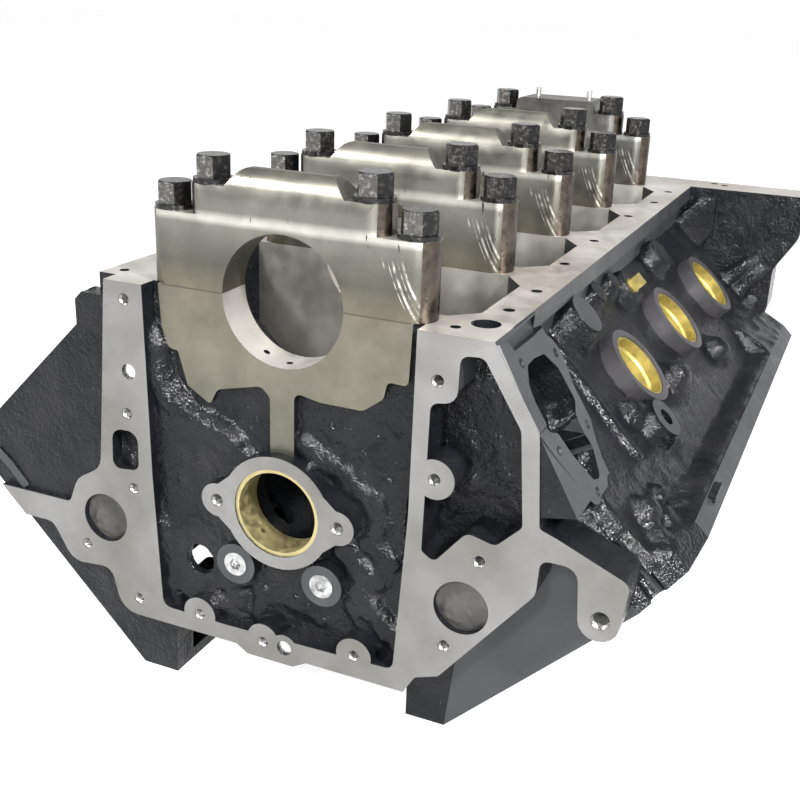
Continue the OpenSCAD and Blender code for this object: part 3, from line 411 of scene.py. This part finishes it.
class BlockFaces:
    """The block's faces by place and direction, and the finish picked for each."""

    # Greatest distance of a face's centre from the plane or the round wall that it belongs to
    NEAR, ROUND_NEAR = 0.0002, 0.0006

    # Least share of a face's normal along an axis that it faces, and greatest share along one that it crosses
    FACING, NEARLY_FACING = 0.99, 0.95
    CROSSING, SQUARE = 0.3, 0.1

    def __init__(self, mesh):
        self.x, self.y, self.z = np.array([p.center for p in mesh.polygons]).T
        self.nx, self.ny, self.nz = np.array([p.normal for p in mesh.polygons]).T
        self.side = np.sign(self.x)
        self.u = S45 * (np.abs(self.x) - self.z)
        self.t = S45 * (np.abs(self.x) + self.z)
        self.out_of_bank = S45 * (self.side * self.nx - self.nz)
        self.off_valley = S45 * (self.side * self.nx + self.nz)
        self.look = np.zeros(len(self.x), int)

    def paint(self, where, look):
        self.look[where] = BLOCK_LOOKS.index(look)

    def front_at(self, y):
        """Faces that look forwards in the plane at y."""
        return (self.ny < -self.FACING) & (np.abs(self.y - y) < self.NEAR)

    def plug_bosses(self):
        raised = (self.t > JACKET_T + MM) & (self.t < PLUG_T + MM)
        for bank in (1, -1):
            for i, shift in enumerate(PLUG_SHIFTS):
                off = np.hypot(self.u - PLUG_U - shift, self.y - PLUG_Y[bank] - i * BORE_PITCH - shift)
                self.paint((self.side == bank) & (off < PLUG_BOSS_R) & raised, "boss_grey")

    def bank_end(self):
        """Smooth front end of the right bank, outside the front wall and the window."""
        front_y, back_y, inner_u, low_t, top_z = 0.002, 0.06, 0.13, -0.07, -0.02
        end = (self.ny < -self.NEARLY_FACING) & (self.y > front_y) & (self.y < back_y) & (self.x > 0)
        end &= (self.u > inner_u) & (self.t > low_t) & (self.z < top_z)
        wall = (self.x < WALL_RIGHT) & (self.z > WALL_LOW_Z)
        window = (self.x < WINDOW_RIGHT) & (self.z > WINDOW_LOW_Z)
        self.paint(end & ~wall & ~window, "cast_smooth")

    def front_and_rear(self):
        """Timing face with the cast step behind it, flywheel face, and the machined webs, whose lighter grey
        is partly painted light for the shade in the bays.
        """
        step, web_low_z = 0.002, -0.09
        self.paint(self.front_at(FACE_Y), "timing_iron")
        self.paint((self.ny > self.FACING) & (np.abs(self.y - REAR_Y) < self.NEAR), "timing_iron")
        self.paint(self.front_at(FACE_Y + step), "cast_smooth")
        for i in range(1, CYLINDERS + 1):
            # Webs behind each bay: lighter grey, partly painted light
            self.paint(self.front_at(i * BORE_PITCH) & (self.z > web_low_z), "web_iron_painted_light")
        self.paint(self.front_at(0), "front_web")

    def pump_pad(self):
        left_x, back_y = 0.12, 0.07
        facing = self.nx * S61 + self.nz * C61
        rise = self.x * S61 + self.z * C61
        self.paint((facing > self.FACING) & (rise > PAD_RISE) & (self.y < back_y), "cast_smooth")
        down = (self.x - PAD_X) * C61 - self.z * S61
        for a, b in PAD_HOLES:
            at_hole = (np.hypot(down - a, self.y - b) < PAD_HOLE_R) & (self.x > left_x)
            self.paint(at_hole & (np.abs(facing) < self.CROSSING), "thread_steel")

    def flange_edges(self):
        """Outer edges of the deck flanges and the sides of the pan rails."""
        rail_low_z = -0.03
        self.paint((self.off_valley > self.NEARLY_FACING) & (self.t > FLANGE_EDGE_T), "cast_smooth")
        self.paint((self.side * self.nx > self.NEARLY_FACING) & (self.z > rail_low_z), "cast_smooth")

    def rails_and_decks(self):
        self.paint((self.nz > self.FACING) & (np.abs(self.z) < self.NEAR), "rail_iron")
        self.paint((self.out_of_bank > self.FACING) & (np.abs(self.u - DECK_U) < self.NEAR), "rail_iron")

    def bores(self):
        in_line_bore = np.abs(np.hypot(self.x, self.z) - MAIN_R) < self.ROUND_NEAR
        self.paint(in_line_bore & (np.abs(self.ny) < self.CROSSING), "rail_iron")
        for bank, first in ((1, "cylinder_right_1"), (-1, "cylinder_left_1")):
            first_y = mount(first)["pos_m"][1]
            for i in range(CYLINDERS):
                off = np.abs(np.hypot(self.t, self.y - first_y - i * BORE_PITCH) - BORE_R)
                wall = (off < self.ROUND_NEAR) & (np.abs(self.out_of_bank) < self.SQUARE)
                self.paint((self.side == bank) & wall, "bore_iron")

    def front_holes(self):
        slack, back_y = 0.0003, 0.03
        for x, z, radius in FRONT_HOLES:
            inside = np.hypot(self.x - x, self.z - z) < radius + slack
            self.paint(inside & (np.abs(self.ny) < self.CROSSING) & (self.y < back_y), "thread_steel")


def paint_block(obj):
    """Gives each face of the block its own finish, where a later rule wins over an earlier one."""
    mesh = obj.data
    mesh.materials.clear()
    for look in BLOCK_LOOKS:
        mesh.materials.append(LOOKS[look])
    faces = BlockFaces(mesh)
    faces.plug_bosses()
    faces.bank_end()
    faces.front_and_rear()
    faces.pump_pad()
    faces.flange_edges()
    faces.rails_and_decks()
    faces.bores()
    faces.front_holes()
    for polygon, look in zip(mesh.polygons, faces.look):
        polygon.material_index = int(look)


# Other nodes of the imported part

def dress(node, look, other=None, rule=None):
    """Gives a node one finish, and the faces that a rule picks another one."""
    mesh = frame["nodes"][node].data
    mesh.materials.clear()
    mesh.materials.append(LOOKS[look])
    if other:
        mesh.materials.append(LOOKS[other])
        for polygon in mesh.polygons:
            polygon.material_index = int(rule(polygon))


# Faces that get the bolts' painted highlight: the facets that look forwards
def front_facet(polygon):
    return polygon.normal.y < -BlockFaces.NEARLY_FACING


def tower_end(polygon):
    """Side faces of the bolt towers, away from the bore."""
    least_share, inner_x = 0.5, 0.045
    return abs(polygon.normal.x) > least_share and abs(polygon.center.x) > inner_x


def dress_nodes():
    for part in frame["record"]["subparts"]:
        node, look = part["node"], part["material_slot"]
        if node.endswith("cap_bolts"):
            # The bolts' forward facets take the lighter look, a painted highlight
            dress(node, look, "bolt_painted_highlight", front_facet)
        elif node.startswith("main_cap"):
            dress(node, look, "cap_end", tower_end)
        elif node != "block":
            dress(node, look)
    paint_block(frame["nodes"]["block"])


# Casting skins: rounded, sand-textured surfaces laid over the facets of the rough casting

def blur(grid, cells):
    """Gaussian blur of a grid."""
    reach = int(3 * cells) + 1
    bell = np.exp(-0.5 * (np.arange(-reach, reach + 1) / cells) ** 2)
    bell /= bell.sum()
    for axis in (0, 1):
        grid = np.apply_along_axis(np.convolve, axis, grid, bell, "same")
    return grid


def swell(grid, cells):
    """Largest value within a round neighbourhood."""
    padded = np.pad(grid, cells, mode="edge")
    rows, columns = grid.shape
    result = grid.copy()
    for i in range(2 * cells + 1):
        for j in range(2 * cells + 1):
            if (i - cells) ** 2 + (j - cells) ** 2 <= cells ** 2:
                result = np.maximum(result, padded[i:i + rows, j:j + columns])
    return result


def grain(shape, cells, seed):
    """Smooth random field with spread 1 and features a few cells across."""
    field = blur(np.random.default_rng(seed).normal(size=shape), cells)
    return field / field.std()


class Skin:
    """Height field cast onto the block along one direction, smoothed and roughened like sand casting."""

    # Height from which the block is measured, and size and seed of its lumps and its sand grains
    RAY_START = 0.3
    LUMP_SIZE, LUMP_SEED = 0.005, 3
    SAND_CELLS, SAND_SEED = 1.3, 5

    # Least lift over the block, gap under the greatest height, and how far the skirt at the skin's edge sinks
    # into the block and, at most, below the skin
    LEAST_LIFT = 0.0001
    TOP_GAP = 0.0002
    SKIRT_SINK, SKIRT_DROP = 0.0015, 0.006

    def __init__(self, name, origin, across, along, toward, size, step):
        self.name, self.step = name, step
        self.origin, self.across, self.along, self.toward = map(Vector, (origin, across, along, toward))
        self.shape = tuple(int(length / step) + 1 for length in size)
        self.height = np.full(self.shape, -1.0)
        self.zone = np.full(self.shape, -1)

    def point(self, i, j, height):
        foot = self.origin + self.across * (i * self.step) + self.along * (j * self.step)
        return foot + self.toward * height

    def scan(self, tree, zones):
        """Measures the block's height and finish under each cell."""
        for i in range(self.shape[0]):
            for j in range(self.shape[1]):
                hit, _, face, distance = tree.ray_cast(self.point(i, j, self.RAY_START), -self.toward)
                if hit:
                    self.height[i, j] = self.RAY_START - distance
                    self.zone[i, j] = zones[face]

    def spare_holes(self, cast, holes):
        """Leaves round holes out. Returns their insides, and how far their rim cells move onto the circle."""
        hollow = np.zeros(self.shape, bool)
        shift = np.zeros((2, *self.shape))
        i, j = np.indices(self.shape)
        for a, b, radius in holes:
            off = np.stack((i * self.step - a, j * self.step - b))
            gap = np.hypot(*off)
            cast &= gap > radius - 0.6 * self.step
            hollow |= gap < radius - 0.75 * self.step
            on_rim = np.abs(gap - radius) < 0.75 * self.step
            shift += np.where(on_rim, off / gap * (radius - gap), 0)
        return hollow, shift

    def build(self, low, high, fatten, soften, lumps, holes=()):
        """Skin over the cast samples between two heights, with a skirt that dips into the block."""
        cast = (self.zone == 0) & (self.height > low) & (self.height < high)
        hollow, shift = self.spare_holes(cast, holes)
        inside = cast.astype(float)
        own = np.where(cast, self.height, -1)
        raised = np.where(cast, swell(own, fatten), 0)
        smooth = blur(raised * inside, soften) / np.maximum(blur(inside, soften), 1e-6)
        smooth += lumps * (0.5 + grain(self.shape, self.LUMP_SIZE / self.step, self.LUMP_SEED))
        smooth += 0.3 * lumps * grain(self.shape, self.SAND_CELLS, self.SAND_SEED)
        smooth = np.minimum(np.maximum(smooth, own + self.LEAST_LIFT), high - self.TOP_GAP)
        used = (swell(inside, 2) > 0) & ~hollow
        nearest = swell(np.where(cast, smooth, -1), 2)
        skirt = np.maximum(np.minimum(nearest, self.height - self.SKIRT_SINK), nearest - self.SKIRT_DROP)
        self.make_piece(np.where(cast, smooth, skirt), used, shift)

    def make_piece(self, height, used, shift):
        """Mesh over the cells in use, as a piece of the object."""
        index = np.full(self.shape, -1)
        index[used] = np.arange(used.sum())
        vertices = [self.point(i + shift[0, i, j] / self.step, j + shift[1, i, j] / self.step, height[i, j])
                    for i, j in zip(*np.nonzero(used))]
        faces = []
        for i, j in zip(*np.nonzero(used[:-1, :-1] & used[1:, :-1] & used[:-1, 1:] & used[1:, 1:])):
            faces.append((index[i, j], index[i + 1, j], index[i + 1, j + 1], index[i, j + 1]))
        mesh = bpy.data.meshes.new(self.name)
        mesh.from_pydata(vertices, [], faces)
        if self.across.cross(self.along).dot(self.toward) < 0:
            mesh.flip_normals()
        mesh.polygons.foreach_set("use_smooth", np.ones(len(faces), bool))
        add_piece(self.name, mesh, "cast_paint")


# Front skins: directions to the right, up and forwards, cell, lowest height kept, and the lowest corner and
# size of the front wall's and the window's
FRONT_AXES = ((1, 0, 0), (0, 0, 1), (0, -1, 0))
FRONT_STEP = 0.001
FRONT_LOW = -0.03
WALL_ORIGIN, WALL_SIZE = (WALL_LEFT, -0.21), (WALL_RIGHT - WALL_LEFT, 0.209)
WINDOW_ORIGIN, WINDOW_SIZE = (WALL_RIGHT, -0.134), (0.063, 0.127)

# Jacket skins: u and y where they start in the right (1) and left (-1) bank, size out and along, cell, and
# the range of t kept
JACKET_INNER_U = 0.1
JACKET_FRONT_Y = {1: 0.026, -1: 0.002}
JACKET_SIZE = (0.137, 0.49)
JACKET_STEP = 0.0015
JACKET_LOW, JACKET_HIGH = 0.055, 0.2


def front_skin(name, origin, size, holes, tree, zones):
    """Skin over the rough casting seen from the front, up to just behind the timing face."""
    x, z = origin
    skin = Skin(name, (x, 0, z), *FRONT_AXES, size, FRONT_STEP)
    skin.scan(tree, zones)
    own_holes = [(hole_x - x, hole_z - z, radius) for hole_x, hole_z, radius in holes]
    skin.build(low=FRONT_LOW, high=-FACE_Y - 0.0005, fatten=2, soften=1.6, lumps=0.0006, holes=own_holes)


def jacket_skin(name, bank, tree, zones):
    """Skin over one bank's jacket wall."""
    out, up = (bank * S45, 0, -S45), (bank * S45, 0, S45)
    origin = (bank * S45 * JACKET_INNER_U, JACKET_FRONT_Y[bank], -S45 * JACKET_INNER_U)
    skin = Skin(name, origin, out, (0, 1, 0), up, JACKET_SIZE, JACKET_STEP)
    skin.scan(tree, zones)
    skin.build(low=JACKET_LOW, high=JACKET_HIGH, fatten=1, soften=1.1, lumps=0.0005)


def make_skins():
    mesh = frame["nodes"]["block"].data
    tree = BVHTree.FromPolygons([v.co for v in mesh.vertices], [tuple(p.vertices) for p in mesh.polygons])
    zones = [p.material_index for p in mesh.polygons]
    front_skin("front_wall_skin", WALL_ORIGIN, WALL_SIZE, [WALL_HOLE], tree, zones)
    front_skin("right_window_skin", WINDOW_ORIGIN, WINDOW_SIZE, [], tree, zones)
    jacket_skin("right_jacket_skin", 1, tree, zones)
    jacket_skin("left_jacket_skin", -1, tree, zones)


def add_piece(name, mesh, look):
    """Makes a mesh a piece of the object with one finish."""
    mesh.materials.append(LOOKS[look])
    piece = bpy.data.objects.new(name, mesh)
    bpy.context.collection.objects.link(piece)
    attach(piece, "root")


def mesh_from(name, bm):
    """Turns a bmesh into a mesh."""
    mesh = bpy.data.meshes.new(name)
    bm.to_mesh(mesh)
    bm.free()
    return mesh


# Small rough surfaces and threads behind the openings of the timing plate

def make_slot_backing():
    """Rough cast wall that closes the slot in the left side of the timing plate."""
    columns, rows, step = 30, 36, 0.001
    relief = 0.0012 * grain((columns, rows), cells=3, seed=7)
    bm = bmesh.new()
    grid = [[bm.verts.new((SLOT_LOW[0] + i * step, SLOT_BACK_Y + relief[i, j], SLOT_LOW[1] + j * step))
             for j in range(rows)] for i in range(columns)]
    for left, right in zip(grid, grid[1:]):
        for j in range(rows - 1):
            bm.faces.new((left[j], right[j], right[j + 1], left[j + 1])).smooth = True
    add_piece("slot_backing", mesh_from("slot_backing", bm), "cast_paint")


def make_port_floors():
    """Rough cast floors a few millimetres down in the two coolant ports of the timing plate."""
    bm = bmesh.new()
    rings, facets = 16, 56
    reach = PORT_R + 0.0008
    flat_middle = np.linspace(0, 1, rings + 1)[:, None]
    relief = 0.0003 * grain((rings + 1, facets), cells=1.2, seed=11) * flat_middle
    for x, z in PORTS:
        center = bm.verts.new((x, PORT_FLOOR_Y + relief[0, 0], z))
        previous = [center] * facets
        for i in range(1, rings + 1):
            radius = reach * i / rings
            ring = []
            for k in range(facets):
                a = 2 * math.pi * k / facets
                ring.append(bm.verts.new((x + radius * math.cos(a), PORT_FLOOR_Y + relief[i, k],
                                          z + radius * math.sin(a))))
            for k in range(facets):
                n = (k + 1) % facets
                inner = (center,) if i == 1 else (previous[n], previous[k])
                bm.faces.new((ring[k], ring[n], *inner)).smooth = True
            previous = ring
    add_piece("port_floors", mesh_from("port_floors", bm), "core_face")


def make_threads():
    """Threads in the tapped holes of the timing face, as rings that are wide and narrow in turn."""
    bm = bmesh.new()
    turns, half_pitch, facets = 14, 0.0006, 24
    start, wall_gap, depth = 0.0005, 0.00005, 0.00045
    for x, z, r in FRONT_HOLES:
        rings = []
        for k in range(turns * 2):
            radius = r - wall_gap - (depth if k % 2 else 0)
            y = FACE_Y + start + k * half_pitch
            rings.append([bm.verts.new((x + radius * math.cos(a), y, z + radius * math.sin(a)))
                          for a in np.linspace(0, 2 * math.pi, facets, endpoint=False)])
        for near, far in zip(rings, rings[1:]):
            for q in range(facets):
                w = (q + 1) % facets
                bm.faces.new((near[q], far[q], far[w], near[w]))
    add_piece("threads", mesh_from("threads", bm), "thread_steel")


# Stage

# Soft light from above and low in front, and three small strong lights for the glints on wet paint: name,
# place, side of the square and power in watts
LIGHT_TARGET = (0, 0.2, -0.1)
LIGHTS = [("overhead", (0.2, 0.1, 2.2), 0.9, 50), ("low_front", (0.86, -2.0, 0.45), 0.4, 45),
          ("spark_right", (1.6, -0.7, 1.3), 0.2, 130), ("spark_front", (0.2, -1.9, 1.3), 0.2, 85),
          ("spark_left", (-1.3, -1.0, 1.4), 0.2, 85)]


def make_floor():
    bm = bmesh.new()
    bmesh.ops.create_circle(bm, cap_ends=True, radius=12, segments=96)
    mesh = mesh_from("floor", bm)
    mesh.materials.append(pale_floor())
    floor = bpy.data.objects.new("floor", mesh)
    floor.location.z = FLOOR_Z
    bpy.context.collection.objects.link(floor)


def make_light(name, place, size, power):
    light = bpy.data.lights.new(name, "AREA")
    light.shape = "RECTANGLE"
    light.size = light.size_y = size
    light.energy = power
    lamp = bpy.data.objects.new(name, light)
    lamp.location = place
    lamp.visible_camera = False
    lamp.rotation_euler = (Vector(LIGHT_TARGET) - Vector(place)).to_track_quat("-Z", "Y").to_euler()
    bpy.context.collection.objects.link(lamp)


def make_world():
    """Surroundings that are white at the horizon and dimmer overhead."""
    world = bpy.data.worlds.new("studio")
    bpy.context.scene.world = world
    world.use_nodes = True
    nodes, links = world.node_tree.nodes, world.node_tree.links
    axes = nodes.new("ShaderNodeSeparateXYZ")
    links.new(nodes.new("ShaderNodeTexCoord").outputs["Generated"], axes.inputs[0])
    ramp = nodes.new("ShaderNodeValToRGB")
    for element, at, tone in zip(ramp.color_ramp.elements, (0.12, 0.4), (1.0, 0.3)):
        element.position = at
        element.color = (tone, tone, tone, 1)
    links.new(axes.outputs["Z"], ramp.inputs["Fac"])
    links.new(ramp.outputs["Color"], nodes["Background"].inputs["Color"])
    nodes["Background"].inputs["Strength"].default_value = 1.0


def make_camera():
    """The photo's camera: azimuth, elevation and roll in radians, place and focal length solved from it."""
    azimuth, elevation, roll = 0.406319, 0.359828, 0.0362532
    place = Vector((0.29112, -0.51024, 0.16639))
    focal_px, image_px, sensor_mm = 1123.26, 800, 36
    back = Vector((math.sin(azimuth) * math.cos(elevation), -math.cos(azimuth) * math.cos(elevation),
                   math.sin(elevation)))
    right = Vector((0, 0, 1)).cross(back).normalized()
    up = back.cross(right)
    turned_right = math.cos(roll) * right + math.sin(roll) * up
    turned_up = math.cos(roll) * up - math.sin(roll) * right
    data = bpy.data.cameras.new("camera")
    data.sensor_width = sensor_mm
    data.lens = focal_px * sensor_mm / image_px
    data.clip_start = 0.02
    camera = bpy.data.objects.new("camera", data)
    turn = Matrix((turned_right, turned_up, back)).transposed()
    camera.matrix_world = Matrix.Translation(place) @ turn.to_4x4()
    bpy.context.collection.objects.link(camera)
    bpy.context.scene.camera = camera


def make_stage():
    make_camera()
    make_world()
    make_floor()
    bpy.context.scene.view_settings.view_transform = "Standard"
    for light in LIGHTS:
        make_light(*light)


dress_nodes()
make_skins()
make_slot_backing()
make_port_floors()
make_threads()
make_stage()
